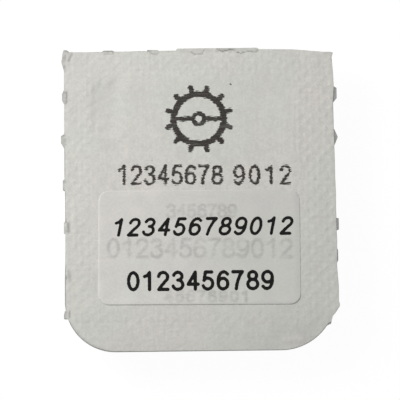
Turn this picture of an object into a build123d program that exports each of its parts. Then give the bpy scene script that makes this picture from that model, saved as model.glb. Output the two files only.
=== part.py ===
from build123d import *
import os

# A sealed packet that holds one watch balance with its spring. It lies on its clear formed tray, with the
# paper lid on top and the head edge, torn from the next packet of the strip, towards +Y.

# Packet outline
packet_width = 40.0
packet_length = 44.5
foot_corner_radius = 7.45
nub_proud = 0.5
nub_base = 2.4
nub_root = 0.4
tear_length = 13.2

# Points of the card's edge where it tore unevenly: shares of its width from the left, and of its length from
# the head down. They run from the head round by the right side, then along the foot's right corner, where they
# are the ends and middle of an arc, and last up the left side
torn_edge_shares = (
    (0.0, 0.0), (0.73, -0.002), (0.842, 0.0), (0.954, 0.009), (0.987, 0.014),
    (0.996, 0.032), (1.0, 0.1), (0.998, 0.19), (1.0015, 0.6), (1.0, 0.722),
    (1.005, 0.79), (1.004, 0.838), (1.007, 0.854), (0.979, 0.893), (0.974, 0.915),
)
torn_arc_shares = ((0.959, 0.921), (0.892, 0.976), (0.791, 1.0))
left_edge_shares = ((0.0005, 0.76), (0.0025, 0.7), (0.0028, 0.49), (0.0005, 0.42))

# Nubs that the perforations left, one row each. First comes the nub's middle, as a share of the side it is on,
# from the head or from the left. Then come its base, where its tip starts and ends beside its middle, seen
# looking off the card, and how far it is proud: shares of nub_base, of half its own base and of nub_proud
left_nub_shares = (
    (0.031, 1.17, -0.10, 0.10, 0.75),
    (0.150, 0.90, -0.54, 0.39, 0.6),
    (0.299, 0.90, -0.26, 0.67, 0.95),
    (0.447, 0.70, -0.85, 0.85, 0.45),
    (0.589, 0.72, -0.90, 0.90, 0.15),
    (0.877, 0.50, -0.85, 0.05, 0.25),
)
right_nub_shares = (
    (0.153, 1.00, -0.74, 0.51, 0.95),
    (0.298, 1.00, -0.10, 0.10, 0.95),
    (0.588, 0.80, -0.90, 0.81, 0.8),
    (0.690, 1.00, -0.60, 0.60, 0.4),
)
head_nub_shares = (
    (0.010, 0.42, -0.88, 0.00, 0.72),
    (0.164, 0.69, -0.82, 0.64, 0.4),
    (0.329, 0.69, -0.82, 0.45, 0.4),
)
tear_shares = (0.573, -0.953, 0.91, 0.78)

# Formed tray
sheet_thickness = 0.3
tray_depth = 6.0
seal_left = 4.1
seal_right = 5.9
seal_head = 3.9
seal_foot = 5.6
pocket_corner_radius = 4.5
wall_draft = 7.0
floor_bend_radius = 0.9
mouth_bend_radius = 0.35
cut_overrun = 1.0

# Island in the pocket, with the nest and its well
island_to_lid = 0.8
island_foot_radius = 6.9
island_top_radius = 6.3
nest_mouth_radius = 4.5
nest_radius = 4.0
well_radius = 2.5
well_floor_radius = 2.2
island_bend_radius = 0.4
ledge_height = 2.18
well_floor_height = 0.9

# Lid and label
lid_thickness = 0.18
label_width = 29.7
label_length = 16.8
label_thickness = 0.09
label_corner_radius = 1.6
label_shift_x = -0.18
label_shift_y = -7.235
label_turn = -0.45

# Balance wheel
wheel_radius = 3.5
rim_width = 0.4
rim_height = 0.45
rim_chamfer = 0.04
arm_count = 3
arm_width = 0.3
arm_thickness = 0.15
arm_rise = 0.1
hub_radius = 0.7
poise_dimple_radius = 0.09
poise_dimple_depth = 0.08
poise_dimple_angles = (38.0, 52.0, 201.0)
seat_play = 0.02

# Balance staff
staff_length = 2.8
pivot_radius = 0.05
pivot_length = 0.28
pivot_cone_length = 0.2
staff_below_wheel = 1.15
roller_seat_radius = 0.17
staff_flange_radius = 0.5
staff_flange_thickness = 0.18
wheel_seat_radius = 0.32
rivet_radius = 0.4
rivet_height = 0.06
collet_seat_radius = 0.25
upper_shank_radius = 0.16

# Double roller, ruby pin and shellac
table_radius = 0.85
table_thickness = 0.15
roller_tube_radius = 0.3
roller_tube_length = 0.16
safety_radius = 0.42
safety_thickness = 0.15
crescent_radius = 0.16
jewel_radius = 0.11
jewel_flat_share = 0.5
jewel_reach = 0.64
jewel_length = 0.5
shellac_radius = 0.13
shellac_height = 0.05

# Collet, spring, stud and cement
collet_radius = 0.5
collet_split = 0.06
collet_margin = 0.1
spring_thickness = 0.04
spring_height = 0.14
spring_rim_gap = 0.1
spring_root_depth = 0.12
first_coil_radius = 0.72
last_coil_radius = 2.7
coil_half_turns = 24
stud_reach = 3.1
stud_radius = 0.25
stud_foot_radius = 0.2
stud_length = 1.2
stud_chamfer = 0.05
stud_slot_width = 0.12
stud_foot_spare = 0.07
spring_tail = 0.1

# Heights and places that follow from these
head_edge = (packet_length - nub_proud * tear_shares[-1]) / 2
pocket_width = packet_width - seal_left - seal_right
pocket_length = packet_length - seal_head - seal_foot
pocket_x = (seal_left - seal_right) / 2
pocket_y = head_edge - seal_head - pocket_length / 2
lid_top = tray_depth + lid_thickness
flange_under = tray_depth - sheet_thickness
island_height = tray_depth - island_to_lid
rim_bottom = ledge_height + seat_play
rim_top = rim_bottom + rim_height
arm_bottom = rim_bottom + arm_rise
arm_top = arm_bottom + arm_thickness
staff_tip = arm_bottom - staff_below_wheel
lower_cone = staff_tip + pivot_length
lower_seat = lower_cone + pivot_cone_length
staff_flange_under = arm_bottom - staff_flange_thickness
rivet_top = arm_top + rivet_height
staff_top = staff_tip + staff_length
upper_cone_top = staff_top - pivot_length
upper_cone = upper_cone_top - pivot_cone_length
spring_bottom = rim_top + spring_rim_gap
spring_top = spring_bottom + spring_height
collet_top = spring_top + collet_margin
table_bottom = staff_flange_under - table_thickness
safety_top = table_bottom - roller_tube_length
safety_bottom = safety_top - safety_thickness
jewel_bottom = staff_flange_under - jewel_length
stud_foot_height = spring_height + stud_foot_spare
stud_post_bottom = spring_bottom + stud_foot_height
stud_shift = stud_radius + spring_tail
half_sheet = sheet_thickness / 2

nest = Plane(origin=(pocket_x, pocket_y, 0))
nest_section = Plane(origin=(pocket_x, pocket_y, 0), x_dir=(1, 0, 0), z_dir=(0, -1, 0))
nest_axis = Axis((pocket_x, pocket_y, 0), (0, 0, 1))

os.makedirs("parts", exist_ok=True)


def on_card(x_share, y_share):
    """A point of the card, from its shares of the width from the left and of the length from the head down."""
    return (packet_width * (x_share - 0.5), head_edge - packet_length * y_share)


# The card has an uneven head edge, where it was torn off the strip, and is round at the foot
with BuildSketch() as card:
    with BuildLine():
        torn_edge = Polyline(*[on_card(*shares) for shares in torn_edge_shares + torn_arc_shares[:1]])
        ThreePointArc(*[on_card(*shares) for shares in torn_arc_shares])
        left_edge = [on_card(*shares) for shares in left_edge_shares]
        Polyline(on_card(*torn_arc_shares[-1]), on_card(0, 1), *left_edge, torn_edge @ 0)
    make_face()
    fillet(card.vertices().group_by(Axis.Y)[0].sort_by(Axis.X)[0], foot_corner_radius)


def nub(place, base, tip_start, tip_end, proud):
    """One nub, added to the sketch in hand. Its root lies on the card and its tip points off the edge."""
    half_base = nub_base * base / 2
    tip = nub_proud * proud
    with Locations(place):
        Polygon(
            (-half_base, -nub_root),
            (half_base, -nub_root),
            (half_base, 0),
            (half_base * tip_end, tip),
            (half_base * tip_start, tip),
            (-half_base, 0),
            align=None,
        )


# Nubs of the left side and the head, which tray and lid share
with BuildSketch() as shared_nubs:
    for along, *shape in left_nub_shares:
        nub(Location(on_card(0, along), 90), *shape)
    for along, *shape in head_nub_shares:
        nub(Location(on_card(along, 0)), *shape)

# Nubs of the right side, where the paper tore off flush and only the tray has them
with BuildSketch() as tray_nubs:
    for along, *shape in right_nub_shares:
        nub(Location(on_card(1, along), -90), *shape)


# Inside of the pocket: the tool that the warm sheet is drawn over leaves this space
with BuildPart() as pocket_space:
    with BuildSketch(nest.offset(tray_depth)):
        RectangleRounded(pocket_width, pocket_length, pocket_corner_radius)
    extrude(amount=sheet_thickness - tray_depth, taper=wall_draft)
    fillet(pocket_space.edges().group_by(Axis.Z)[0], floor_bend_radius)


# Clear tray: one formed sheet, with a flange that the lid is sealed to, a pocket that stands on the table
# and an island whose nest carries the balance by its rim
with BuildPart() as blister_tray:
    with BuildSketch(nest.offset(tray_depth)):
        RectangleRounded(
            pocket_width + 2 * sheet_thickness,
            pocket_length + 2 * sheet_thickness,
            pocket_corner_radius + sheet_thickness,
        )
    extrude(amount=-tray_depth, taper=wall_draft)
    fillet(blister_tray.edges().group_by(Axis.Z)[0], floor_bend_radius + sheet_thickness)

    with BuildSketch(Plane.XY.offset(flange_under)):
        add(card.sketch)
        add(shared_nubs.sketch)
        add(tray_nubs.sketch)
    extrude(amount=sheet_thickness)

    add(pocket_space.part, mode=Mode.SUBTRACT)
    mouth = blister_tray.faces().filter_by(Axis.Z).sort_by(Axis.Z)[-1].inner_wires()
    fillet(mouth.edges(), mouth_bend_radius)

    with BuildSketch(nest):
        Circle(island_foot_radius)
    extrude(amount=sheet_thickness + cut_overrun, mode=Mode.SUBTRACT)

    with BuildSketch(nest_section):
        with BuildLine():
            FilletPolyline(
                (island_foot_radius + sheet_thickness, half_sheet),
                (island_foot_radius - half_sheet, half_sheet),
                (island_top_radius - half_sheet, island_height - half_sheet),
                (nest_mouth_radius + half_sheet, island_height - half_sheet),
                (nest_radius + half_sheet, ledge_height - half_sheet),
                (well_radius + half_sheet, ledge_height - half_sheet),
                (well_floor_radius + half_sheet, well_floor_height - half_sheet),
                (0, well_floor_height - half_sheet),
                radius=island_bend_radius,
            )
        trace(line_width=sheet_thickness)
    revolve(axis=nest_axis)

blister_tray.part.label = "blister_tray"
export_step(blister_tray.part, "parts/blister_tray.step")


# Paper lid, sealed on the flange, with the nubs and the torn strip of its perforated edges
with BuildPart() as paper_lid:
    with BuildSketch(Plane.XY.offset(tray_depth)):
        add(card.sketch)
        add(shared_nubs.sketch)
        tear_along, *tear_shape = tear_shares
        nub(Location(on_card(tear_along, 0)), tear_length / nub_base, *tear_shape)
    extrude(amount=lid_thickness)

paper_lid.part.label = "paper_lid"
export_step(paper_lid.part, "parts/paper_lid.step")


# Label, stuck on the lid below its middle
with BuildPart() as label:
    with BuildSketch(Plane.XY.offset(lid_top)):
        with Locations(Location((label_shift_x, label_shift_y), label_turn)):
            RectangleRounded(label_width, label_length, label_corner_radius)
    extrude(amount=label_thickness)

label.part.label = "label"
export_step(label.part, "parts/label.step")


# Balance wheel: a plain turned rim on three thin arms, poised by dimples drilled under the rim
with BuildPart() as balance_wheel:
    with BuildSketch(nest.offset(rim_bottom)):
        Circle(wheel_radius)
        Circle(wheel_radius - rim_width, mode=Mode.SUBTRACT)
    extrude(amount=rim_height)
    chamfer(balance_wheel.edges(), rim_chamfer)
    with BuildSketch(nest.offset(arm_bottom)):
        arm_length = wheel_radius - rim_width / 2
        with PolarLocations(arm_length / 2, arm_count):
            Rectangle(arm_length, arm_width)
        Circle(hub_radius)
    extrude(amount=arm_thickness)
    with BuildSketch(nest.offset(arm_bottom)):
        Circle(wheel_seat_radius)
    extrude(amount=arm_thickness, mode=Mode.SUBTRACT)
    for angle in poise_dimple_angles:
        with BuildSketch(nest.offset(rim_bottom)):
            with PolarLocations(wheel_radius - rim_width / 2, 1, start_angle=angle):
                Circle(poise_dimple_radius)
        extrude(amount=poise_dimple_depth, mode=Mode.SUBTRACT)

balance_wheel.part.label = "balance_wheel"
export_step(balance_wheel.part, "parts/balance_wheel.step")


# Balance staff: one turning, with a pivot at each end, a flange under the wheel and a rivet lip over it
with BuildPart() as balance_staff:
    with BuildSketch(nest_section):
        with BuildLine():
            Polyline(
                (0, staff_tip),
                (pivot_radius, staff_tip),
                (pivot_radius, lower_cone),
                (roller_seat_radius, lower_seat),
                (roller_seat_radius, staff_flange_under),
                (staff_flange_radius, staff_flange_under),
                (staff_flange_radius, arm_bottom),
                (wheel_seat_radius, arm_bottom),
                (wheel_seat_radius, arm_top),
                (rivet_radius, arm_top),
                (rivet_radius, rivet_top),
                (collet_seat_radius, rivet_top),
                (collet_seat_radius, collet_top),
                (upper_shank_radius, collet_top),
                (upper_shank_radius, upper_cone),
                (pivot_radius, upper_cone_top),
                (pivot_radius, staff_top),
                (0, staff_top),
                close=True,
            )
        make_face()
    revolve(axis=nest_axis)

balance_staff.part.label = "balance_staff"
export_step(balance_staff.part, "parts/balance_staff.step")


# Double roller: the table carries the ruby pin, and the safety roller below it has a crescent by the pin
with BuildPart() as double_roller:
    with BuildSketch(nest.offset(table_bottom)):
        Circle(table_radius)
        with Locations((jewel_reach, 0)):
            Circle(jewel_radius, mode=Mode.SUBTRACT)
    extrude(amount=table_thickness)
    with BuildSketch(nest.offset(safety_top)):
        Circle(roller_tube_radius)
    extrude(amount=roller_tube_length)
    with BuildSketch(nest.offset(safety_bottom)):
        Circle(safety_radius)
        with Locations((safety_radius, 0)):
            Circle(crescent_radius, mode=Mode.SUBTRACT)
    extrude(amount=safety_thickness)
    with BuildSketch(nest.offset(safety_bottom)):
        Circle(roller_seat_radius)
    extrude(amount=staff_flange_under - safety_bottom, mode=Mode.SUBTRACT)

double_roller.part.label = "double_roller"
export_step(double_roller.part, "parts/double_roller.step")


# Ruby pin of the roller, round with a flat on the side away from the staff
with BuildPart() as impulse_jewel:
    with BuildSketch(nest.offset(jewel_bottom)):
        with Locations((jewel_reach, 0)):
            Circle(jewel_radius)
    extrude(amount=jewel_length)
    with BuildSketch(nest.offset(jewel_bottom)):
        with Locations((jewel_reach + jewel_radius, 0)):
            Rectangle(2 * jewel_radius * jewel_flat_share, 2 * jewel_radius)
    extrude(amount=table_bottom - jewel_bottom, mode=Mode.SUBTRACT)

impulse_jewel.part.label = "impulse_jewel"
export_step(impulse_jewel.part, "parts/impulse_jewel.step")


# Shellac drop that holds the ruby pin, set on the table over its hole
with BuildPart() as jewel_shellac:
    with BuildSketch(nest.offset(staff_flange_under)):
        with Locations((jewel_reach, 0)):
            Circle(shellac_radius)
    extrude(amount=shellac_height)
    fillet(jewel_shellac.edges().group_by(Axis.Z)[-1], shellac_height / 2)

jewel_shellac.part.label = "jewel_shellac"
export_step(jewel_shellac.part, "parts/jewel_shellac.step")


# The spring's middle line crosses the line from the staff to the stud once each half turn: first in the
# collet, then at each coil and last at the stud. Half circles join the crossings, so the line is smooth
coil_step = (last_coil_radius - first_coil_radius) / coil_half_turns
crossings = [collet_radius - spring_root_depth]
crossings += [first_coil_radius + coil_step * step for step in range(coil_half_turns + 1)]
crossings += [stud_reach]
tail_end = 2 * stud_shift
half_strip = spring_thickness / 2


def half_circles(side):
    """Half circles that run beside the middle line, half the strip's thickness out or in."""
    arcs = []
    for turn, (near, far) in enumerate(zip(crossings, crossings[1:])):
        facing = 1 if turn % 2 == 0 else -1
        centre = facing * (near - far) / 2
        radius = (near + far) / 2 + side * half_strip
        arcs.append((centre, radius, 0 if facing > 0 else 180))
    return arcs


# Hairspring: a flat strip on edge, wound in one plane, let into the collet inside and the stud outside
with BuildPart() as hairspring:
    with BuildSketch(nest.offset(spring_bottom)):
        with BuildLine():
            for side in (-1, 1):
                for centre, radius, start in half_circles(side):
                    CenterArc((centre, 0), radius, start, 180)
                edge_at_stud = stud_reach + side * half_strip
                Line((edge_at_stud, 0), (edge_at_stud, tail_end))
            Line((crossings[0] - half_strip, 0), (crossings[0] + half_strip, 0))
            Line((stud_reach - half_strip, tail_end), (stud_reach + half_strip, tail_end))
        make_face()
    extrude(amount=spring_height)

hairspring.part.label = "hairspring"
export_step(hairspring.part, "parts/hairspring.step")


# Collet: a split ring on the staff, above the rivet, with a seat for the spring's inner end
with BuildPart() as collet:
    with BuildSketch(nest.offset(rivet_top)):
        Circle(collet_radius)
        Circle(collet_seat_radius, mode=Mode.SUBTRACT)
        with Locations((-collet_radius, 0)):
            Rectangle(2 * collet_radius, collet_split, mode=Mode.SUBTRACT)
    extrude(amount=collet_top - rivet_top)
    add(hairspring.part, mode=Mode.SUBTRACT)

collet.part.label = "collet"
export_step(collet.part, "parts/collet.step")


# Stud: a small round post on a narrower foot, which is slotted from below for the spring's outer end
with BuildPart() as stud:
    with BuildSketch(nest.offset(stud_post_bottom)):
        with Locations((stud_reach, stud_shift)):
            Circle(stud_radius)
    extrude(amount=stud_length - stud_foot_height)
    chamfer(stud.edges().group_by(Axis.Z)[-1], stud_chamfer)
    with BuildSketch(nest.offset(spring_bottom)):
        with Locations((stud_reach, stud_shift)):
            Circle(stud_foot_radius)
            Rectangle(stud_slot_width, 2 * stud_foot_radius, mode=Mode.SUBTRACT)
    extrude(amount=stud_foot_height)

stud.part.label = "stud"
export_step(stud.part, "parts/stud.step")


# Cement that fills the stud's slot round the spring
with BuildPart() as stud_cement:
    with BuildSketch(nest.offset(spring_bottom)):
        with Locations((stud_reach, stud_shift)):
            Rectangle(stud_slot_width, 2 * stud_foot_radius)
            Circle(stud_foot_radius, mode=Mode.INTERSECT)
    extrude(amount=stud_foot_height)
    add(hairspring.part, mode=Mode.SUBTRACT)

stud_cement.part.label = "stud_cement"
export_step(stud_cement.part, "parts/stud_cement.step")


# The strip's least gap to itself, from one crossing to the crossing a whole turn later
coil_gaps = [far - near - spring_thickness for near, far in zip(crossings, crossings[2:])]
print(f"hairspring: {coil_half_turns / 2:g} coils, least gap between coils {min(coil_gaps):.3f} mm")
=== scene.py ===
import math
import bmesh
import bpy
from mathutils import Matrix, Vector, noise


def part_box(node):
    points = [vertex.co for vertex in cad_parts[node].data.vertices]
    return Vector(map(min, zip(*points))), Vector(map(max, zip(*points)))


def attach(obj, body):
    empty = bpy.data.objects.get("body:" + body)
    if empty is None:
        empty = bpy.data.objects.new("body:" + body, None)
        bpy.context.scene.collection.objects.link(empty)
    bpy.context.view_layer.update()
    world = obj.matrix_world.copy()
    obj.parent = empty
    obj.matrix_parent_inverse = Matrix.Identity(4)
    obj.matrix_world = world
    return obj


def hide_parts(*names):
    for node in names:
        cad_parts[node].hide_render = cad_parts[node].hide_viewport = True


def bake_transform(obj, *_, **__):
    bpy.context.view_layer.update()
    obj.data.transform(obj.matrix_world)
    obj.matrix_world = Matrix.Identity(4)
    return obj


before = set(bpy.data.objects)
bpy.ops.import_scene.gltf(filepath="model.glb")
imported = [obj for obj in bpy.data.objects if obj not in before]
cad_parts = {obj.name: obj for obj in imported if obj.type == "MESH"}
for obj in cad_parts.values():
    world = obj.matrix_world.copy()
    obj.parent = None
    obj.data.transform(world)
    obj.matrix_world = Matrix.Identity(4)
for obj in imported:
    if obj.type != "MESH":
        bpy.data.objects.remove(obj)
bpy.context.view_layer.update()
mm = 0.001


# Clear tray: thin PETG sheet, drawn warm over a mould, so it has a flat flange, a pocket and an island that
# holds the balance in its nest. The heated jaw that seals the lid frosts the flange with a fine knurl.
knurl_row_gap = 1.31
frost_starts_below = 0.60
frost_full_below = 0.35


class Signal:
    """A socket of a finish. Arithmetic on signals adds the Math nodes that do it."""

    def __init__(self, tree, socket=None):
        self.tree = tree
        self.socket = socket

    def node(self, kind, settings, inputs, out=0):
        """Adds a node, sets it up, links or sets its inputs, and returns one of its outputs."""
        made = self.tree.nodes.new("ShaderNode" + kind)
        for name, setting in settings.items():
            setattr(made, name, setting)
        for name, value in inputs.items():
            if isinstance(value, Signal):
                self.tree.links.new(value.socket, made.inputs[name])
            else:
                made.inputs[name].default_value = value
        return Signal(self.tree, made.outputs[out]) if made.outputs else None

    def math(self, operation, first, second=0.0):
        return self.node("Math", {"operation": operation}, {0: first, 1: second})

    def __add__(self, other):
        return self.math("ADD", self, other)

    def __sub__(self, other):
        return self.math("SUBTRACT", self, other)

    def __rsub__(self, other):
        return self.math("SUBTRACT", other, self)

    def __mul__(self, other):
        return self.math("MULTIPLY", self, other)

    __radd__ = __add__
    __rmul__ = __mul__

    def between(self, low, high):
        """0 below low, 1 above high and a smooth rise from one to the other."""
        settings = {"interpolation_type": "SMOOTHSTEP"}
        return self.node("MapRange", settings, {"Value": self, "From Min": low, "From Max": high})

    def blend(self, first, second):
        """The first colour where this signal is 0 and the second where it is 1."""
        return self.node("Mix", {"data_type": "RGBA"}, {0: self, 6: first, 7: second}, 2)

    def stretched(self, along_x, along_y, along_z):
        """This place with its axes scaled, so that a pattern on it is drawn out."""
        return self.node("VectorMath", {"operation": "MULTIPLY"}, {0: self, 1: (along_x, along_y, along_z)})

    def cloud(self, per_mm, detail=2.0):
        """Soft noise on this place, from 0 to 1, with so many lumps to the millimetre."""
        return self.node("TexNoise", {}, {"Vector": self, "Scale": per_mm, "Detail": detail})

    def relief(self, height_mm):
        """A surface normal that this signal raises by up to so many millimetres."""
        return self.node("Bump", {}, {"Height": self, "Distance": height_mm * mm})


def finish(name):
    """A new material without a shader, and the place on its piece in millimetres."""
    material = bpy.data.materials.new(name)
    material.use_nodes = True
    material.node_tree.nodes.clear()
    metres = Signal(material.node_tree).node("TexCoord", {}, {}, "Object")
    return material, metres.stretched(1 / mm, 1 / mm, 1 / mm)


def coat(place, inputs):
    """Puts one shader on the material that this place belongs to."""
    surface = place.node("BsdfPrincipled", {}, inputs)
    place.node("OutputMaterial", {}, {"Surface": surface})


def dress(node, material):
    """Gives a piece of the frame its material."""
    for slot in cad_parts[node].material_slots:
        slot.material = material


def knurl(place):
    """The seal's pattern: round bumps where two crossing sets of slanted rows meet, from 0 to 1."""
    per_row = math.sqrt(2) * math.pi / knurl_row_gap
    across = place.node("SeparateXYZ", {}, {0: place}, "X")
    along = place.node("SeparateXYZ", {}, {0: place}, "Y")
    rising = place.math("COSINE", (across + along) * per_row)
    falling = place.math("COSINE", (across - along) * per_row)
    return (0.5 - rising * 0.5) * (0.5 - falling * 0.5)


tray_low, tray_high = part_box("blister_tray")
clear_sheet, place = finish("clear_sheet")
height = place.node("SeparateXYZ", {}, {0: place}, "Z")
tray_top = tray_high.z / mm
flange = height.between(tray_top - frost_starts_below, tray_top - frost_full_below)
drawn = place.stretched(1.0, 1.0, 0.25).cloud(0.5, 3.0)
sheet_relief = (flange * knurl(place) + drawn * 0.2).relief(0.05)
facing = place.node("LayerWeight", {}, {"Blend": 0.3}, "Facing")
body = place.node("BsdfPrincipled", {}, {
    "Base Color": flange.blend((0.62, 0.66, 0.66, 1.0), (0.30, 0.30, 0.285, 1.0)),
    "Roughness": 0.08 + flange * 0.35,
    "IOR": 1.57,
    "Normal": sheet_relief,
})
through = place.node("BsdfTransparent", {}, {"Color": (0.93, 0.95, 0.945, 1.0)})
share = 0.07 + facing * 0.4 + flange * 0.55
glazed = place.node("MixShader", {}, {0: share, 1: through, 2: body})
place.node("OutputMaterial", {}, {"Surface": glazed})
dress("blister_tray", clear_sheet)


# Balance wheel: a gold-coloured copper and beryllium alloy, punched and then turned. Its rim and hub show the
# fine rings of the lathe, and its arms are grained straight.
nest_low, nest_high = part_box("balance_wheel")
nest_x = (nest_low.x + nest_high.x) / 2
nest_y = (nest_low.y + nest_high.y) / 2


def lathe_rings(place, per_mm):
    """Fine rings round the staff's axis, as a cutter leaves them: noise that depends on the radius alone."""
    axis = (nest_x / mm, nest_y / mm, 0.0)
    arm = place.node("VectorMath", {"operation": "SUBTRACT"}, {0: place, 1: axis}).stretched(1.0, 1.0, 0.0)
    radius = place.node("VectorMath", {"operation": "LENGTH"}, {0: arm}, "Value")
    flat = place.node("CombineXYZ", {}, {"X": radius})
    return flat.cloud(per_mm, 3.0)


def turned_metal(name, colour, tarnish, roughness, per_mm=14.0):
    """A turned metal: its colour, what it tarnishes to, and how matt the cut is."""
    material, place = finish(name)
    rings = lathe_rings(place, per_mm)
    spots = place.cloud(0.9, 4.0).between(0.52, 0.75)
    coat(place, {
        "Base Color": (spots * 0.6).blend(colour, tarnish),
        "Metallic": 1.0,
        "Roughness": roughness + rings * 0.12 + spots * 0.1,
        "Normal": rings.relief(0.004),
    })
    return material


wheel_alloy = turned_metal("wheel_alloy", (0.80, 0.55, 0.25, 1.0), (0.62, 0.40, 0.17, 1.0), 0.16)
dress("balance_wheel", wheel_alloy)


# Balance staff: a turned axle of hardened carbon steel, riveted into the wheel. It is polished all over, and
# its two pivots are burnished to run in jewels.
polished_steel = turned_metal("polished_steel", (0.62, 0.62, 0.63, 1.0), (0.46, 0.45, 0.45, 1.0), 0.10)
dress("balance_staff", polished_steel)


# Double roller: one brass turning, gilt, friction-tight on the staff below the wheel. Its table carries the
# ruby pin, and its smaller roller keeps the fork from tripping.
roller_brass = turned_metal("roller_brass", (0.86, 0.66, 0.33, 1.0), (0.66, 0.45, 0.19, 1.0), 0.14)
dress("double_roller", roller_brass)


# Ruby pin: synthetic ruby, ground round with a flat, stood in the table's hole. Shellac is run round its top
# end to hold it: an amber drop with tiny bubbles.
ruby, place = finish("ruby")
coat(place, {
    "Base Color": place.cloud(5.0).blend((0.32, 0.004, 0.03, 1.0), (0.50, 0.01, 0.06, 1.0)),
    "Roughness": 0.04 + place.cloud(9.0) * 0.05,
    "IOR": 1.76,
    "Coat Weight": 0.4,
})
dress("impulse_jewel", ruby)
shellac, place = finish("shellac")
bubbles = place.cloud(26.0, 1.0).between(0.62, 0.7)
coat(place, {
    "Base Color": bubbles.blend((0.30, 0.10, 0.02, 1.0), (0.55, 0.26, 0.07, 1.0)),
    "Roughness": 0.12 + bubbles * 0.2,
    "IOR": 1.52,
    "Normal": (1 - bubbles).relief(0.005),
})
dress("jewel_shellac", shellac)


# Collet: a small turned brass ring, split so that it grips. It is pressed on the staff over the rivet, and
# the spring's inner end is let into it.
collet_brass = turned_metal("collet_brass", (0.78, 0.60, 0.32, 1.0), (0.60, 0.42, 0.20, 1.0), 0.2, 22.0)
dress("collet", collet_brass)


# Hairspring: a rolled strip of nickel iron alloy, coiled flat on edge. It winds from the collet to the stud
# in half circles, each about its own centre. When the stud turns against the balance, its outer coils wind:
# each of their half circles is a mesh of its own.
strip_thickness = 0.04 * mm
collet_hold = 0.38 * mm
first_coil = 0.72 * mm
last_coil = 2.70 * mm
coil_half_turns = 24
stud_reach = 3.10 * mm
stud_tail = 0.70 * mm
steps_per_half_turn = 28
bending_half_turns = 10
merge_gap = 0.0001 * mm
strip_edge_angle = 40

spring_low, spring_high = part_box("hairspring")
spring_middle_z = (spring_low.z + spring_high.z) / 2
coil_step = (last_coil - first_coil) / coil_half_turns
crossings = [collet_hold]
crossings += [first_coil + coil_step * turn for turn in range(coil_half_turns + 1)]
crossings += [stud_reach]
half_turns = len(crossings) - 1
first_bending = half_turns - bending_half_turns

spring_alloy, place = finish("spring_alloy")
rolled = place.stretched(1.0, 1.0, 9.0).cloud(6.0, 3.0)
coat(place, {
    "Base Color": rolled.blend((0.40, 0.42, 0.46, 1.0), (0.58, 0.59, 0.61, 1.0)),
    "Metallic": 1.0,
    "Roughness": 0.2 + rolled * 0.15,
    "Normal": rolled.relief(0.002),
})


def new_piece(name, shape, material, edge_angle=None):
    """Makes a finished bmesh a piece of the scene. Its edges from so many degrees up are sharp."""
    mesh = bpy.data.meshes.new(name)
    shape.to_mesh(mesh)
    shape.free()
    if edge_angle:
        mesh.set_sharp_from_angle(angle=math.radians(edge_angle))
    mesh.materials.append(material)
    piece = bpy.data.objects.new(name, mesh)
    bpy.context.scene.collection.objects.link(piece)
    return piece


def corners_of(geometry):
    """The corners in what an operator gives back."""
    return [part for part in geometry if isinstance(part, bmesh.types.BMVert)]


def crossing_x(turn):
    """Where the strip crosses the balance's X axis after so many half turns."""
    return nest_x + (crossings[turn] if turn % 2 == 0 else -crossings[turn])


def strip_length(name, first, last):
    """A closed length of the strip, from one crossing to another. The last one goes on to the stud's tail."""
    strip = bmesh.new()
    upright = Matrix.Rotation(math.pi / 2, 3, "X")
    strip_height = spring_high.z - spring_low.z
    bmesh.ops.create_grid(strip, x_segments=1, y_segments=1, size=0.5)
    bmesh.ops.scale(strip, vec=(strip_thickness, strip_height, 1.0), verts=strip.verts)
    bmesh.ops.rotate(strip, cent=(0, 0, 0), matrix=upright, verts=strip.verts)
    bmesh.ops.translate(strip, vec=(crossing_x(first), nest_y, spring_middle_z), verts=strip.verts)
    end = strip.faces[:]
    for turn in range(first, last):
        centre = ((crossing_x(turn) + crossing_x(turn + 1)) / 2, nest_y, 0)
        spun = bmesh.ops.spin(
            strip, geom=end, cent=centre, axis=(0, 0, 1), angle=math.pi, steps=steps_per_half_turn
        )
        end = [part for part in spun["geom_last"] if isinstance(part, bmesh.types.BMFace)]
    if last == half_turns:
        tail = bmesh.ops.extrude_face_region(strip, geom=end)["geom"]
        bmesh.ops.translate(strip, vec=(0, stud_tail, 0), verts=corners_of(tail))
    bmesh.ops.remove_doubles(strip, verts=strip.verts, dist=merge_gap)
    inner_ends = [face for face in strip.faces if all(len(edge.link_faces) > 2 for edge in face.edges)]
    bmesh.ops.delete(strip, geom=inner_ends, context="FACES_ONLY")
    bmesh.ops.recalc_face_normals(strip, faces=strip.faces)
    piece = new_piece(name, strip, spring_alloy, strip_edge_angle)
    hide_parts("hairspring")
    return piece


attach(strip_length("hairspring_inner", 0, first_bending), "balance")
for bend in range(bending_half_turns):
    turn = first_bending + bend
    run = crossing_x(turn + 1) - crossing_x(turn)
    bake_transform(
        strip_length(f"hairspring_bend_{bend + 1:02d}", turn, turn + 1), "balance", "stud",
        start=(crossing_x(turn) - bend * run, nest_y, spring_middle_z),
        end=(crossing_x(turn) + (bending_half_turns - bend) * run, nest_y, spring_middle_z),
    )


# Stud: a small steel post, ground bright, with the spring's outer end in its slot. Yellow cement fills the
# slot round the spring.
stud_steel, place = finish("stud_steel")
ground = place.stretched(1.0, 1.0, 12.0).cloud(5.0, 3.0)
coat(place, {
    "Base Color": ground.blend((0.44, 0.44, 0.45, 1.0), (0.60, 0.60, 0.61, 1.0)),
    "Metallic": 1.0,
    "Roughness": 0.18 + ground * 0.15,
    "Normal": ground.relief(0.003),
})
dress("stud", stud_steel)
cement, place = finish("cement")
coat(place, {
    "Base Color": place.cloud(14.0).blend((0.50, 0.30, 0.07, 1.0), (0.66, 0.44, 0.14, 1.0)),
    "Roughness": 0.22 + place.cloud(8.0) * 0.2,
    "Normal": place.cloud(12.0).relief(0.006),
})
dress("stud_cement", cement)


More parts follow.
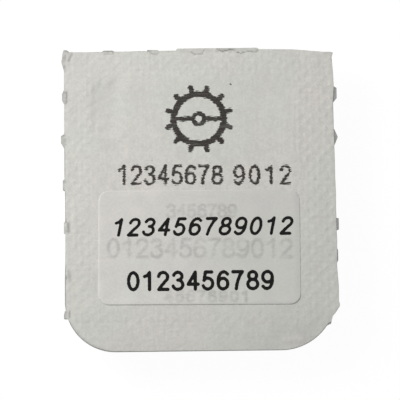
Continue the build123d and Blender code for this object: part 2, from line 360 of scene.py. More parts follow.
# Paper lid: heavy white lidding paper with a sealing lacquer below, pressed on the flange by a knurled jaw
# and torn along perforations at its edges. Over the pocket it is unsealed, smoother, and sinks a little.
lid_low, lid_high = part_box("paper_lid")
label_low, label_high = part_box("label")
pocket_left = -15.9
pocket_right = 14.1
pocket_foot = -16.845
pocket_head = 18.155
mouth_corner = 2.6
lid_sink = 0.11
mouth_crease = 0.14
seal_depth = 0.039
jaw_end = -18.2
dent_x = 13.3
dent_y = -20.95
lid_cell = 0.45
shortest_cut = 0.12
seal_reach = 0.9
lid_edge_angle = 55
flange_gap = 0.002
lid_thickness = (lid_high.z - lid_low.z) / mm

# Points of its torn edge in millimetres, from the head's left corner down and round against the clock
left_edge = (
    (-19.22, 22.10), (-19.62, 22.30), (-20.04, 22.35), (-20.15, 22.04), (-20.22, 21.74), (-20.28, 21.14),
    (-20.36, 20.56), (-20.28, 20.20), (-20.09, 19.66), (-19.97, 19.30), (-19.99, 16.60), (-20.02, 16.20),
    (-20.23, 15.85), (-20.27, 15.35), (-20.27, 14.82), (-20.12, 14.50), (-19.97, 14.28), (-19.98, 9.95),
    (-20.10, 9.62), (-20.42, 9.48), (-20.44, 9.07), (-20.42, 8.50), (-20.22, 8.10), (-20.00, 7.86),
    (-19.86, 7.60), (-19.84, 3.60), (-19.94, 3.15), (-20.15, 2.86), (-20.19, 2.20), (-20.16, 1.62),
    (-19.88, 1.40), (-19.80, 1.10), (-19.80, -2.70), (-19.87, -3.10), (-20.03, -3.42), (-20.05, -4.15),
    (-20.03, -4.86), (-19.87, -5.12), (-19.85, -9.00), (-19.80, -9.90), (-19.82, -14.60), (-19.86, -16.30),
    (-20.00, -16.90), (-20.04, -17.38), (-19.72, -17.46), (-19.52, -17.64),
)
right_edge = (
    (18.62, -18.50), (19.02, -18.30), (19.20, -17.60), (19.66, -17.06), (20.26, -16.14), (20.30, -15.86),
    (20.16, -15.34), (20.20, -13.24), (20.10, -12.04), (20.00, -10.24), (20.05, -8.24), (20.10, -6.24),
    (20.02, -4.54), (20.00, -2.94), (20.06, 0.56), (19.99, 3.06), (20.00, 5.26), (19.95, 8.66),
    (19.88, 11.26), (19.86, 14.06), (20.06, 16.46), (20.00, 18.36), (19.84, 20.76), (20.04, 21.42),
)
head_edge = (
    (19.66, 21.55), (18.70, 21.56), (16.50, 21.78), (13.90, 22.02), (9.45, 22.10), (9.05, 22.16),
    (8.72, 22.34), (6.25, 22.33), (3.28, 22.35), (1.05, 22.37), (-1.18, 22.38), (-3.08, 22.37),
    (-3.40, 22.03), (-5.70, 22.04), (-6.06, 22.20), (-6.70, 22.21), (-7.26, 22.18), (-7.66, 22.06),
    (-8.10, 21.99), (-12.36, 22.06), (-12.80, 22.24), (-13.85, 22.19), (-14.26, 22.10), (-14.65, 21.98),
)

# Dark lines where the paper creased or its layers split: their two ends, how wide they are to each side, and
# how dark from 0 to 1. They lie in the crumpled corner, at the roots of the nubs, down the left edge and on
# the torn strip. In the corner and at the nub roots their darkness is painted shade of the folds.
shade_and_tear_lines = (
    (-18.77, 21.80, -19.30, 20.75, 0.30, 0.45), (-19.74, 21.66, -20.04, 20.46, 0.22, 0.45),
    (-20.04, 20.46, -19.83, 19.10, 0.22, 0.55), (-20.05, 22.30, -19.30, 22.10, 0.18, 0.40),
    (-19.58, 16.05, -19.59, 14.50, 0.21, 0.66), (-19.92, 14.50, -19.70, 14.40, 0.20, 0.55),
    (-20.30, 15.90, -19.90, 16.05, 0.18, 0.35), (-20.36, 9.42, -19.90, 9.58, 0.20, 0.50),
    (-19.90, 9.20, -19.76, 8.10, 0.22, 0.40), (-20.10, 2.84, -19.76, 2.60, 0.20, 0.35),
    (-19.82, -2.83, -19.84, -3.27, 0.24, 0.75), (-19.42, -3.60, -19.38, -4.72, 0.40, 0.55),
    (-19.36, -10.60, -19.16, -11.90, 0.42, 0.31), (-19.78, -11.36, -19.78, -11.66, 0.20, 0.60),
    (-19.26, -16.40, -19.26, -17.30, 0.20, 0.50), (-19.80, -16.60, -19.84, -17.40, 0.16, 0.45),
    (-14.00, 22.09, -12.66, 22.08, 0.16, 0.50), (-14.00, 21.64, -12.66, 21.65, 0.16, 0.24),
    (-7.59, 22.10, -7.00, 22.02, 0.16, 0.55), (-7.15, 21.72, -6.11, 21.48, 0.16, 0.42),
    (-6.11, 21.48, -5.91, 21.80, 0.14, 0.36), (-1.04, 21.83, -0.45, 21.47, 0.17, 0.50),
    (-0.45, 21.47, 0.59, 21.56, 0.17, 0.52), (0.59, 21.56, 0.90, 22.10, 0.15, 0.50),
    (2.98, 22.24, 3.40, 21.93, 0.13, 0.70), (3.40, 21.93, 3.72, 21.84, 0.13, 0.85),
    (3.72, 21.84, 4.31, 21.98, 0.13, 0.85), (4.31, 21.98, 4.76, 22.17, 0.14, 0.75),
    (4.76, 22.17, 5.36, 22.05, 0.13, 0.60), (5.72, 21.58, 6.09, 21.66, 0.12, 0.85),
    (6.31, 21.49, 6.84, 21.68, 0.13, 0.80), (6.84, 21.68, 7.43, 21.79, 0.12, 0.60),
    (7.43, 21.79, 8.62, 21.69, 0.12, 0.55), (8.62, 21.69, 8.92, 22.00, 0.13, 0.60),
)


def foot_arc(centre_x, centre_y, radius, first, last, steps=14):
    """Points of a round foot corner, between two angles in degrees."""
    angles = [math.radians(first + (last - first) * step / steps) for step in range(steps + 1)]
    return tuple((centre_x + radius * math.cos(a), centre_y + radius * math.sin(a)) for a in angles)


def rise(value, low, high):
    """0 below low, 1 above high and a smooth rise from one to the other."""
    share = min(1.0, max(0.0, (value - low) / (high - low)))
    return share * share * (3 - 2 * share)


def inside_pocket(x, y):
    """How far a point is inside the pocket's mouth, in millimetres. It is negative over the seal."""
    across = abs(x - (pocket_left + pocket_right) / 2) - (pocket_right - pocket_left) / 2 + mouth_corner
    along = abs(y - (pocket_foot + pocket_head) / 2) - (pocket_head - pocket_foot) / 2 + mouth_corner
    return mouth_corner - math.hypot(max(across, 0.0), max(along, 0.0)) - min(max(across, along), 0.0)


def lumps(x, y, size, seed):
    """Smooth noise about 0, with lumps of so many millimetres."""
    return noise.noise(Vector((x / size, y / size, seed)))


def off_run(x, y, x0, y0, x1, y1):
    """How far a point is from a straight run between two others."""
    along_x, along_y = x1 - x0, y1 - y0
    share = ((x - x0) * along_x + (y - y0) * along_y) / (along_x * along_x + along_y * along_y)
    share = min(1.0, max(0.0, share))
    return math.hypot(x - x0 - share * along_x, y - y0 - share * along_y)


def painted_line_darkness(x, y):
    """How far into the nearest dark line a point is, from 0 beside it to the line's own darkness. At folds
    and nub roots that darkness is painted shade.
    """
    deepest = 0.0
    if x > -18.3 and y < 20.9:
        return deepest
    for x0, y0, x1, y1, width, dark in shade_and_tear_lines:
        gap = off_run(x, y, x0, y0, x1, y1) + 0.06 * lumps(x, y, 0.3, 6.0)
        deepest = max(deepest, dark * rise(gap, width, 0.02))
    return deepest


def thinning_and_fold_shade(x, y):
    """Where the paper is thin and grey, from 0 to 1: on the nubs, and where the strip's layers tore apart.
    The grey in the crumpled corner's fold is painted shade.
    """
    nubs = max(rise(-x, 19.90, 20.06), rise(y, 22.03, 22.13) * rise(-x, 3.6, 4.2))
    flaps = rise(y, 21.62, 21.74) * (rise(abs(x + 13.4), 0.9, 0.7) + rise(abs(x + 6.65), 0.75, 0.5))
    strip = rise(y, 21.75, 22.0) * rise(x, 2.4, 2.9) * rise(x, 5.9, 5.5)
    head = rise(y, 21.5, 21.9) * rise(x, -3.6, -3.2) * rise(x, 9.2, 8.9)
    # Painted shade in the crumpled corner's fold.
    fold = rise(y, 19.9, 20.5) * rise(-x, 18.95, 19.25)
    return max(0.5 * nubs, 0.22 * flaps, 0.55 * strip, 0.16 * head, 0.2 * fold)


def painted_edge_shade(x, y):
    """How dark the painted shade by the paper's cut edge is, from 0 to 1: most on the foot's left corner."""
    if x < 19.0 and y > -14.0:
        return 0.0
    near = min(off_run(x, y, *start, *end) for start, end in zip(outline, outline[1:]))
    dark = 0.14 * rise(y, -18.5, -16.5) + 0.04 + 0.26 * rise(x, -12.0, -14.5) * rise(x, -19.6, -18.5)
    return dark * rise(near, 0.22, 0.0)


def lid_dip(x, y):
    """How the unsealed paper sinks into the pocket's mouth, in millimetres, most by its upper left corner."""
    inside = inside_pocket(x, y) + 0.25 * lumps(x, y, 1.1, 3.0)
    corner = rise(y, 8.8, 11.0) * rise(x, -10.5, -12.8) * rise(lumps(x, y, 1.3, 5.0), -0.8, 0.0)
    sunk = lid_sink * (1.0 + 0.5 * lumps(x, y, 3.5, 21.0))
    return -sunk * rise(inside, -0.3, 4.0) - mouth_crease * corner * rise(inside, -0.45, 0.9)


def knurl_bump(x, y):
    """The knurl on the paper, about 0 to 1: bumps in slanted rows, each of its own height and place."""
    rows_per_mm = math.sqrt(2) / 2 / knurl_row_gap
    wander = 0.14 * lumps(x, y, 2.6, 4.0)
    rising = (x + y) * rows_per_mm + wander + 0.10 * lumps(x, y, 0.9, 9.0)
    falling = (x - y) * rows_per_mm - wander + 0.10 * lumps(x, y, 0.9, 12.0)
    own_cell = Vector((math.floor(rising) + 0.5, math.floor(falling) + 0.5, 2.5))
    own_height = 1.10 + 0.3 * noise.cell(own_cell)
    return own_height * abs(math.sin(math.pi * rising) * math.sin(math.pi * falling)) ** 3


def lid_top(x, y):
    """Height of the lid's upper face over its lower one, in millimetres, with the knurl and the dip. The
    knurl is flat where the label is rubbed on."""
    sealed = rise(inside_pocket(x, y), 0.8, -0.6)
    right_side = rise(x, 13.0, 17.0)
    head_side = rise(y, 15.5, 17.5)
    foot_side = rise(y, -15.2, -16.4)
    past_jaw = rise(y, jaw_end, jaw_end - 0.6)
    force = 1.0 + 0.2 * right_side - (0.2 * head_side + 0.25 * foot_side) - 0.35 * past_jaw
    past_side = max(x - label_high.x / mm, label_low.x / mm - x)
    past_label = max(past_side, y - label_high.y / mm, label_low.y / mm - y)
    force *= 0.3 + 0.7 * rise(past_label, 0.0, 0.5)
    grain = 0.40 * lumps(x, y, 0.5, 15.0) + 0.5 * lumps(x, y, 0.33, 17.0)
    pressed = 0.3 - force * knurl_bump(x, y) + grain
    swell = 0.02 * lumps(x, y, 7.0, 1.0) + 0.004 * lumps(x, y, 1.6, 8.0)
    line = rise(abs(y - jaw_end), 0.35, 0.0) * rise(x, 3.0, -4.0) * rise(lumps(x, y, 2.0, 31.0), -0.4, 0.1)
    dent = rise(abs(y - dent_y), 0.75, 0.0) * rise(abs(x - dent_x), 2.0, 0.9)
    marks = 0.06 * dent - 0.018 * line - 0.07 * painted_line_darkness(x, y)
    return lid_dip(x, y) + swell + marks - sealed * seal_depth * pressed


def cut_to_cells(piece, cell, low_x, high_x, low_y, high_y):
    """Cuts a flat piece along lines a cell apart both ways, so that it can bend."""
    for axis, low, high in ((Vector((1, 0, 0)), low_x, high_x), (Vector((0, 1, 0)), low_y, high_y)):
        for line in range(1, math.ceil((high - low) / cell)):
            everything = piece.verts[:] + piece.edges[:] + piece.faces[:]
            bmesh.ops.bisect_plane(
                piece, geom=everything, dist=1e-8, plane_co=axis * (low + cell * line), plane_no=axis
            )


def over_seal(edge):
    """Whether an edge's middle lies over the knurled seal or close beside it."""
    middle = sum((corner.co for corner in edge.verts), Vector()) / 2 / mm
    return inside_pocket(middle.x, middle.y) < seal_reach


outline = left_edge + foot_arc(-12.55, -14.995, 7.30, 204, 270) + foot_arc(11.63, -14.255, 8.08, 270, 327)
outline += right_edge + head_edge
sheet = bmesh.new()
sheet.faces.new([sheet.verts.new((x * mm, y * mm, 0.0)) for x, y in outline])
cut_to_cells(sheet, lid_cell * mm, lid_low.x, lid_high.x, lid_low.y, lid_high.y)
seal_edges = [edge for edge in sheet.edges if edge.calc_length() > shortest_cut * mm and over_seal(edge)]
bmesh.ops.subdivide_edges(sheet, edges=seal_edges, cuts=2, use_grid_fill=True)
bmesh.ops.recalc_face_normals(sheet, faces=sheet.faces)
upper = bmesh.ops.extrude_face_region(sheet, geom=sheet.faces[:])["geom"]
upper_corners = set(corners_of(upper))
for corner in sheet.verts:
    x, y = corner.co.x / mm, corner.co.y / mm
    if corner in upper_corners:
        corner.co.z = lid_low.z + (lid_thickness + lid_top(x, y)) * mm
    else:
        corner.co.z = lid_low.z + (lid_dip(x, y) + flange_gap) * mm
bmesh.ops.recalc_face_normals(sheet, faces=sheet.faces)
for face in sheet.faces:
    face.smooth = True
tear_lines_and_painted_shade = sheet.verts.layers.float.new("tear_lines_and_painted_shade")
thinned_and_fold_shaded = sheet.verts.layers.float.new("thinned_and_fold_shaded")
for corner in sheet.verts:
    x, y = corner.co.x / mm, corner.co.y / mm
    corner[tear_lines_and_painted_shade] = max(painted_line_darkness(x, y), painted_edge_shade(x, y))
    corner[thinned_and_fold_shaded] = thinning_and_fold_shade(x, y)

lid_paper, place = finish("lid_paper")
# Painted shade at folds, nub roots and the cut edge, with the torn strip's dark split lines.
dark = place.node("Attribute", {"attribute_name": "tear_lines_and_painted_shade"}, {}, "Fac")
thin = place.node("Attribute", {"attribute_name": "thinned_and_fold_shaded"}, {}, "Fac")
fibres = place.stretched(1.9, 0.35, 1.0).cloud(1.0, 3.0)
speckle = place.cloud(3.4, 3.0)
blotches = place.cloud(1.4, 2.0)
clouds = place.cloud(0.30, 2.0)
warmth = place.cloud(0.09, 1.0).between(0.35, 0.65)
down = place.node("SeparateXYZ", {}, {0: place}, "Y")
across = place.node("SeparateXYZ", {}, {0: place}, "X")
smudges = place.cloud(0.55, 3.0).between(0.35, 0.65)
# Painted shade, darker towards the foot and lower right and by the upper left, in cloudy patches along the
# foot.
painted_shade_tone = down.between(-15.0, -20.0) * (0.06 + across.between(-2.0, 10.0) * (0.06 + smudges * 0.27))
painted_shade_tone = painted_shade_tone + down.between(-20.0, -22.4) * across.between(6.0, -4.0) * 0.18
painted_shade_tone = painted_shade_tone + down.between(6.0, 14.0) * across.between(-7.0, -17.0) * 0.20
painted_shade_tone = painted_shade_tone + down.between(-3.0, -12.0) * across.between(5.0, 15.0) * 0.08
tone = warmth.blend((0.662, 0.635, 0.597, 1.0), (0.619, 0.6315, 0.582, 1.0))
mottled = (speckle * 0.40 + fibres * 0.20 + blotches * 0.28 + clouds * 0.12).between(0.36, 0.64)
paper = (1 - mottled).blend(tone, (0.557, 0.549, 0.516, 1.0))
paper = painted_shade_tone.blend(paper, (0.470, 0.468, 0.448, 1.0))
# Grey of thin torn paper, and painted shade in the crumpled corner's fold.
paper = thin.blend(paper, (0.360, 0.360, 0.342, 1.0))
coat(place, {
    "Base Color": dark.blend(paper, (0.150, 0.146, 0.136, 1.0)),
    "Roughness": 0.72 + speckle * 0.15,
    "IOR": 1.4,
    "Specular IOR Level": 0.3,
    "Normal": (fibres * 0.25 + speckle * 0.35 + blotches * 0.40).relief(0.035),
})
lid_sheet = new_piece("lid_sheet", sheet, lid_paper, lid_edge_angle)
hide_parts("paper_lid")
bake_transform(lid_sheet)


# Print on the lid: a film of black thermal ink, ragged on the rough paper and thin where the head skipped. It
# is a plain wheel over a plain row of digits, with two specks.
def bow(middle_x, middle_y, half_width, half_height, start, end, steps=24):
    """Points of a round pen stroke, between two angles in degrees."""
    angles = [math.radians(start + (end - start) * step / steps) for step in range(steps + 1)]
    return [(middle_x + half_width * math.cos(a), middle_y + half_height * math.sin(a)) for a in angles]


# The strokes of each digit, in a box half as wide as it is high
digit_strokes = {
    "0": [bow(0.25, 0.5, 0.25, 0.5, 0, 360)],
    "1": [[(0.06, 0.77), (0.22, 0.84), (0.32, 1.0), (0.32, 0.0)]],
    "2": [bow(0.25, 0.73, 0.24, 0.27, 172, -36) + [(0.2, 0.27), (0.02, 0.0), (0.5, 0.0)]],
    "3": [bow(0.24, 0.77, 0.22, 0.23, 165, -90), bow(0.24, 0.27, 0.26, 0.27, 90, -163)],
    "4": [[(0.37, 0.0), (0.37, 1.0), (0.0, 0.29), (0.52, 0.29)]],
    "5": [[(0.46, 1.0), (0.12, 1.0), (0.05, 0.51)] + bow(0.24, 0.32, 0.26, 0.32, 136, -157)],
    "6": [bow(0.26, 0.31, 0.25, 0.31, 0, 360), bow(0.30, 0.5, 0.29, 0.5, 48, 196)],
    "7": [[(0.0, 1.0), (0.5, 1.0), (0.36, 0.78), (0.26, 0.5), (0.2, 0.25), (0.17, 0.0)]],
    "8": [bow(0.25, 0.77, 0.21, 0.23, 0, 360), bow(0.25, 0.27, 0.26, 0.27, 0, 360)],
    "9": [bow(0.24, 0.69, 0.25, 0.31, 0, 360), bow(0.20, 0.5, 0.29, 0.5, 228, 376)],
}


def digit_row(digits, left, height, pen, pitch, wide=1.0, slant=0.0):
    """The strokes of a row of digits that starts at left, about the row's middle height, in millimetres."""
    strokes = []
    size = height - pen
    for place_in_row, digit in enumerate(digits):
        start = left + pen / 2 + place_in_row * pitch
        for stroke in digit_strokes.get(digit, ()):
            strokes.append([
                (start + wide * size * x + slant * size * (y - 0.5), size * (y - 0.5)) for x, y in stroke
            ])
    return strokes


def inked(strokes, pen, dot, spare):
    """Corners of a fine grid beside the strokes, each with how far it lies inside the pen's line. The corners
    are columns and rows of dots, and the rest is in millimetres: a corner within spare of the line counts."""
    depths = {}
    reach = math.ceil((pen / 2 + spare) / dot)
    for stroke in strokes:
        for (x0, y0), (x1, y1) in zip(stroke, stroke[1:]):
            steps = math.ceil(2 * math.hypot(x1 - x0, y1 - y0) / dot) + 1
            for step in range(steps + 1):
                x, y = x0 + (x1 - x0) * step / steps, y0 + (y1 - y0) * step / steps
                for column in range(round(x / dot) - reach, round(x / dot) + reach + 1):
                    for row in range(round(y / dot) - reach, round(y / dot) + reach + 1):
                        depth = pen / 2 - math.hypot(column * dot - x, row * dot - y)
                        if depth > max(-spare, depths.get((column, row), -spare)):
                            depths[column, row] = depth
    return depths


def print_film(name, depths, dot, middle, turn, top, ink, proud=0.005):
    """Lays ink on the paper as one thin film, which keeps how far each point lies inside the pen's line."""
    low = [min(spot[axis] for spot in depths) for axis in (0, 1)]
    wide, high = [max(spot[axis] for spot in depths) - low[axis] for axis in (0, 1)]
    film = bmesh.new()
    inside = film.verts.layers.float.new("inside")
    bmesh.ops.create_grid(film, x_segments=wide, y_segments=high, size=0.5)
    bmesh.ops.scale(film, vec=(wide, high, 1.0), verts=film.verts)
    bmesh.ops.translate(film, vec=(low[0] + wide / 2, low[1] + high / 2, 0), verts=film.verts)
    spots = {corner: (round(corner.co.x), round(corner.co.y)) for corner in film.verts}
    bare = [face for face in film.faces if any(spots[corner] not in depths for corner in face.verts)]
    bmesh.ops.delete(film, geom=bare, context="FACES")
    bmesh.ops.recalc_face_normals(film, faces=film.faces)
    raised = bmesh.ops.extrude_face_region(film, geom=film.faces[:])["geom"]
    raised_corners = set(corners_of(raised))
    for corner in film.verts:
        corner[inside] = depths[round(corner.co.x), round(corner.co.y)]
    bmesh.ops.smooth_vert(film, verts=film.verts, factor=0.5, use_axis_x=True, use_axis_y=True)
    bmesh.ops.scale(film, vec=(dot * mm, dot * mm, 1.0), verts=film.verts)
    turning = Matrix.Rotation(math.radians(turn), 3, "Z")
    bmesh.ops.rotate(film, cent=(0, 0, 0), matrix=turning, verts=film.verts)
    bmesh.ops.translate(film, vec=(middle[0] * mm, middle[1] * mm, 0), verts=film.verts)
    for corner in film.verts:
        height = proud if corner in raised_corners else -proud
        corner.co.z = (top(corner.co.x / mm, corner.co.y / mm) + height) * mm
    bmesh.ops.recalc_face_normals(film, faces=film.faces)
    piece = new_piece(name, film, ink)
    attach(piece, "lid")
    return piece


def lid_face(x, y):
    """Height of the lid's upper face above the table, in millimetres."""
    return lid_low.z / mm + lid_thickness + lid_top(x, y)


def ink_finish(name, ink, ragged, soft, covering, skipped, faded=0.0):
    """Ink of one colour: how ragged and how soft its edge is in millimetres, how much of the paper it covers,
    how much of that is lost in level streaks where the print head skipped, and how much in large patches."""
    material, place = finish(name)
    inside = place.node("Attribute", {"attribute_name": "inside"}, {}, "Fac")
    lines = place.stretched(1.1, 6.5, 1.0).cloud(1.0, 1.0)
    edge = (inside + (lines - 0.5) * ragged).between(-soft, soft)
    streaks = place.stretched(0.22, 2.2, 1.0).cloud(1.7, 3.0).between(0.42, 0.68)
    grains = place.cloud(5.5, 2.0).between(0.30, 0.70)
    patches = place.cloud(0.30, 2.0).between(0.40, 0.62)
    coat(place, {
        "Base Color": ink,
        "Roughness": 0.6 + grains * 0.2,
        "Specular IOR Level": 0.15,
        "Alpha": edge * (covering - (streaks * 0.6 + grains * 0.4) * skipped - patches * faded),
        "Normal": grains.relief(0.004),
    })
    return material


lid_ink = ink_finish("lid_ink", (0.036, 0.031, 0.028, 1.0), 0.80, 0.05, 0.97, 0.30, 0.04)
print_turn = -0.7
spill = 0.18
wheel_dot = 0.1
row_dot = 0.085
speck_dot = 0.05
digit_height = 3.02
digit_pen = 0.42
rim_radius = 3.72
hub_radius = 0.82
arm_start = 1.0
screw_root = 3.9
screw_tip = 4.75
screws = [
    [(radius * math.cos(a), radius * math.sin(a)) for radius in (screw_root, screw_tip)]
    for a in (math.radians(15 + 30 * screw) for screw in range(12))
]
wheel_parts = (
    ([bow(0, 0, rim_radius, rim_radius, 0, 360, 90)], 0.92),
    (screws, 0.80),
    ([[(-rim_radius, 0.0), (-arm_start, 0.0)], [(arm_start, 0.0), (rim_radius, 0.0)]], 0.66),
    ([bow(0, 0, hub_radius, hub_radius, 0, 360)], 0.62),
)
wheel_depths = {}
for strokes, pen in wheel_parts:
    for spot, depth in inked(strokes, pen, wheel_dot, spill).items():
        wheel_depths[spot] = max(depth, wheel_depths.get(spot, depth))
wheel_print = print_film(
    "lid_print_wheel", wheel_depths, wheel_dot, (0.0, 11.80), print_turn, lid_face, lid_ink
)
first_digits = digit_row("12345678", -12.64, digit_height, digit_pen, 1.994)
last_digits = digit_row("9012", 4.54, digit_height, digit_pen, 2.27)
row_depths = inked(first_digits + last_digits, digit_pen, row_dot, spill)
lid_row_print = print_film(
    "lid_print_row", row_depths, row_dot, (0.45, 3.44), print_turn, lid_face, lid_ink
)
speck_strokes = [[(4.7, 16.95), (4.82, 16.85)], [(-7.0, 5.65), (-6.98, 5.71)]]
specks = inked(speck_strokes, 0.16, speck_dot, 0.06)
speck_print = print_film("lid_print_specks", specks, speck_dot, (0.0, 0.0), 0.0, lid_face, lid_ink)


# Label: thin white sticky paper with a die-cut edge and rounded corners, stuck on by hand a little askew. Its
# face is smoother than the lid's.
label_width = 29.7
label_length = 16.8
label_corner = 1.6
label_turn = -0.45
label_cell = 0.4
label_rounding = 0.06
label_rim_angle = 60
label_edge_angle = 50
label_x = (label_low.x + label_high.x) / 2 / mm
label_y = (label_low.y + label_high.y) / 2 / mm
label_thickness = (label_high.z - label_low.z) / mm
sticker = bmesh.new()
bmesh.ops.create_grid(sticker, x_segments=1, y_segments=1, size=0.5)
bmesh.ops.scale(sticker, vec=(label_width * mm, label_length * mm, 1.0), verts=sticker.verts)
bmesh.ops.bevel(
    sticker, geom=sticker.verts[:], offset=label_corner * mm, segments=10, profile=0.5, affect="VERTICES",
    material=-1,
)
askew = Matrix.Rotation(math.radians(label_turn), 3, "Z")
bmesh.ops.rotate(sticker, cent=(0, 0, 0), matrix=askew, verts=sticker.verts)
bmesh.ops.translate(sticker, vec=(label_x * mm, label_y * mm, 0), verts=sticker.verts)
cut_to_cells(sticker, label_cell * mm, label_low.x, label_high.x, label_low.y, label_high.y)
bmesh.ops.recalc_face_normals(sticker, faces=sticker.faces)
raised = bmesh.ops.extrude_face_region(sticker, geom=sticker.faces[:])["geom"]
raised_corners = set(corners_of(raised))


def label_face(x, y):
    """Height of the label's upper face above the table, in millimetres."""
    left, right = label_low.x / mm, label_high.x / mm
    foot, head = label_low.y / mm, label_high.y / mm
    lifted = 0.05 * rise(y, foot + 1.6, foot + 0.1)
    rounded = 0.02 * rise(min(x - left, right - x, head - y, y - foot), 0.45, 0.1)
    pressed = 0.035 * rise(x, right - 0.6, right - 0.1) * rise(y, foot + 0.8, foot + 2.4)
    return label_high.z / mm + lid_dip(x, y) + lifted - rounded - pressed + 0.012 * lumps(x, y, 6.0, 1.0)


for corner in sticker.verts:
    x, y = corner.co.x / mm, corner.co.y / mm
    corner.co.z = (label_face(x, y) - (0.0 if corner in raised_corners else label_thickness)) * mm
bmesh.ops.recalc_face_normals(sticker, faces=sticker.faces)
rim = [
    edge for edge in sticker.edges
    if all(corner in raised_corners for corner in edge.verts)
    and edge.is_manifold and edge.calc_face_angle() > math.radians(label_rim_angle)
]
bmesh.ops.bevel(
    sticker, geom=rim, offset=label_rounding * mm, segments=2, profile=0.5, affect="EDGES", material=-1
)
for face in sticker.faces:
    face.smooth = True

label_paper, place = finish("label_paper")
grain = place.cloud(2.6, 4.0)
clouds = place.cloud(0.50, 3.0)
warmth = place.cloud(0.08, 1.0).between(0.35, 0.65)
tone = warmth.blend((0.668, 0.640, 0.607, 1.0), (0.632, 0.638, 0.595, 1.0))
mottled = (grain * 0.60 + clouds * 0.40).between(0.34, 0.66)
down = place.node("SeparateXYZ", {}, {0: place}, "Y")
across = place.node("SeparateXYZ", {}, {0: place}, "X")
# Painted shade: the label darkens towards its right side and a little towards its head.
painted_label_shade = across.between(-14.0, 16.0) * 0.32 + down.between(-12.0, 0.0) * 0.10
paper = (1 - mottled).blend(tone, (0.592, 0.585, 0.556, 1.0))
coat(place, {
    "Base Color": painted_label_shade.blend(paper, (0.500, 0.497, 0.470, 1.0)),
    "Roughness": 0.55 + grain * 0.12,
    "Specular IOR Level": 0.3,
    "Normal": grain.relief(0.008),
})
label_sticker = new_piece("label_sticker", sticker, label_paper, label_edge_angle)
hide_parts("label")
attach(label_sticker, "lid")


# Print on the label: crisp black digits, a slanted row over a bold one. Between and under them, older rows on
# the lid show faintly through the label.
label_ink = ink_finish("label_ink", (0.0028, 0.0025, 0.0023, 1.0), 0.05, 0.025, 1.0, 0.03)
ghost_ink = ink_finish("ghost_ink", (0.10, 0.095, 0.085, 1.0), 0.50, 0.20, 0.165, 0.09, 0.06)
label_dot = 0.08
rows = (
    ("print_slanted", "123456789012", (-13.35, 2.8, 0.48, 2.245, 1.18, 0.21), (0.45, -4.19), -0.1, label_ink),
    ("print_bold", "0123456789", (-10.75, 3.02, 0.53, 2.19, 1.12, 0.0), (-0.13, -12.14), -0.2, label_ink),
    ("shadow_row", "0123456789012", (-13.58, 3.02, 0.46, 2.117, 1.18, 0.0), (-0.20, -7.38), -0.7, ghost_ink),
    ("shadow_head", "3456789", (-5.05, 2.15, 0.38, 1.50, 1.2, 0.0), (0.1, -1.90), -0.7, ghost_ink),
    ("shadow_foot", "45678901", (-6.2, 1.85, 0.42, 1.60, 1.3, 0.0), (0.8, -14.42), -0.7, ghost_ink),
)
for name, digits, (left, height, pen, pitch, wide, slant), middle, turn, ink in rows:
    strokes = digit_row(digits, left, height, pen, pitch, wide, slant)
    spare, proud = (0.05, 0.005) if ink == label_ink else (0.30, 0.003)
    depths = inked(strokes, pen, label_dot, spare)
    printed = print_film("label_" + name, depths, label_dot, middle, turn, label_face, ink, proud)


# Table: a plain matt sheet under the packet. The camera sees it as white with the packet's soft shadow, in
# shiny and clear surfaces too, and none of that glow falls on the packet.
table_half_width = 1.5
table_gap = 0.02 * mm


def seen_directly(place):
    """1 for rays from the camera, and for those that glossy and clear surfaces send on."""
    kinds = ("Is Camera Ray", "Is Glossy Ray", "Is Transmission Ray")
    rays = [place.node("LightPath", {}, {}, kind) for kind in kinds]
    return place.math("MINIMUM", rays[0] + rays[1] + rays[2], 1.0)


table_top = bmesh.new()
bmesh.ops.create_grid(table_top, x_segments=1, y_segments=1, size=table_half_width)
bmesh.ops.translate(table_top, vec=(0, 0, tray_low.z - table_gap), verts=table_top.verts)
table_white, place = finish("table_white")
own_light = place.node("Emission", {}, {"Color": (1.0, 1.0, 1.0, 1.0), "Strength": 0.96})
lit = place.node("BsdfDiffuse", {}, {"Color": (0.05, 0.05, 0.05, 1.0)})
shown = place.node("AddShader", {}, {0: own_light, 1: lit})
plain = place.node("BsdfDiffuse", {}, {"Color": (0.75, 0.75, 0.75, 1.0)})
seen = place.node("MixShader", {}, {0: seen_directly(place), 1: plain, 2: shown})
place.node("OutputMaterial", {}, {"Surface": seen})
table = new_piece("table_top", table_top, table_white)


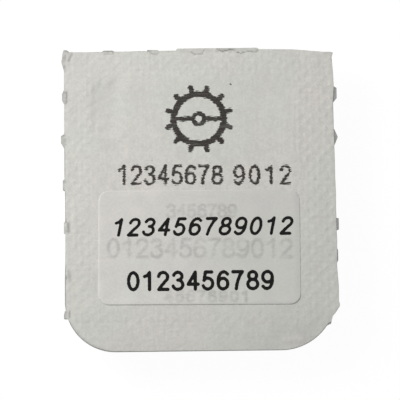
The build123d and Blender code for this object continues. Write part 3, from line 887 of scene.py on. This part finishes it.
# Light: a soft key lamp by the packet's upper left, and an even white room that fills the shadows. The room
# is brighter to the camera than to the packet, so that the picture's ground is white.
lamp_width = 110 * mm
lamp_watts = 0.425
lamp_place = Vector((-143 * mm, 102 * mm, 143 * mm))
room_fill = 0.44

lamp = bpy.data.lights.new("key_lamp", "AREA")
lamp.shape = "DISK"
lamp.size = lamp_width
lamp.energy = lamp_watts
key_lamp = bpy.data.objects.new("key_lamp", lamp)
key_lamp.location = lamp_place
key_lamp.rotation_euler = (-lamp_place).to_track_quat("-Z", "Y").to_euler()
bpy.context.scene.collection.objects.link(key_lamp)

room = bpy.data.worlds.new("room")
room.use_nodes = True
room.node_tree.nodes.clear()
start = Signal(room.node_tree)
white = start.node("Background", {}, {"Color": (1.0, 1.0, 1.0, 1.0), "Strength": 1.0})
fill = start.node("Background", {}, {"Color": (1.0, 1.0, 1.0, 1.0), "Strength": room_fill})
air = start.node("MixShader", {}, {0: seen_directly(start), 1: fill, 2: white})
start.node("OutputWorld", {}, {"Surface": air})
bpy.context.scene.world = room
bpy.context.scene.view_settings.view_transform = "Standard"


# Camera: held over the packet, nearly straight above and a little askew. Its lens is long, so the packet is
# drawn nearly flat.
camera_distance = 200 * mm
camera_azimuth = 8.7
camera_elevation = 85.0
camera_roll = -9.45
lens_length = 122.05
lens_film_width = 36.0
aim = Vector((0.02 * mm, -0.27 * mm, 6.0 * mm))
lens = bpy.data.cameras.new("camera")
lens.lens = lens_length
lens.sensor_width = lens_film_width
lens.clip_start = 1 * mm
camera = bpy.data.objects.new("camera", lens)
azimuth, elevation = math.radians(camera_azimuth), math.radians(camera_elevation)
back = Vector((
    math.sin(azimuth) * math.cos(elevation),
    -math.cos(azimuth) * math.cos(elevation),
    math.sin(elevation),
))
camera.location = aim + camera_distance * back
right = Vector((math.cos(azimuth), math.sin(azimuth), 0.0))
turned = Matrix((right, back.cross(right), back)).transposed()
roll = Matrix.Rotation(math.radians(camera_roll), 3, "Z")
camera.rotation_euler = (turned @ roll).to_euler()
bpy.context.scene.collection.objects.link(camera)
bpy.context.scene.camera = camera
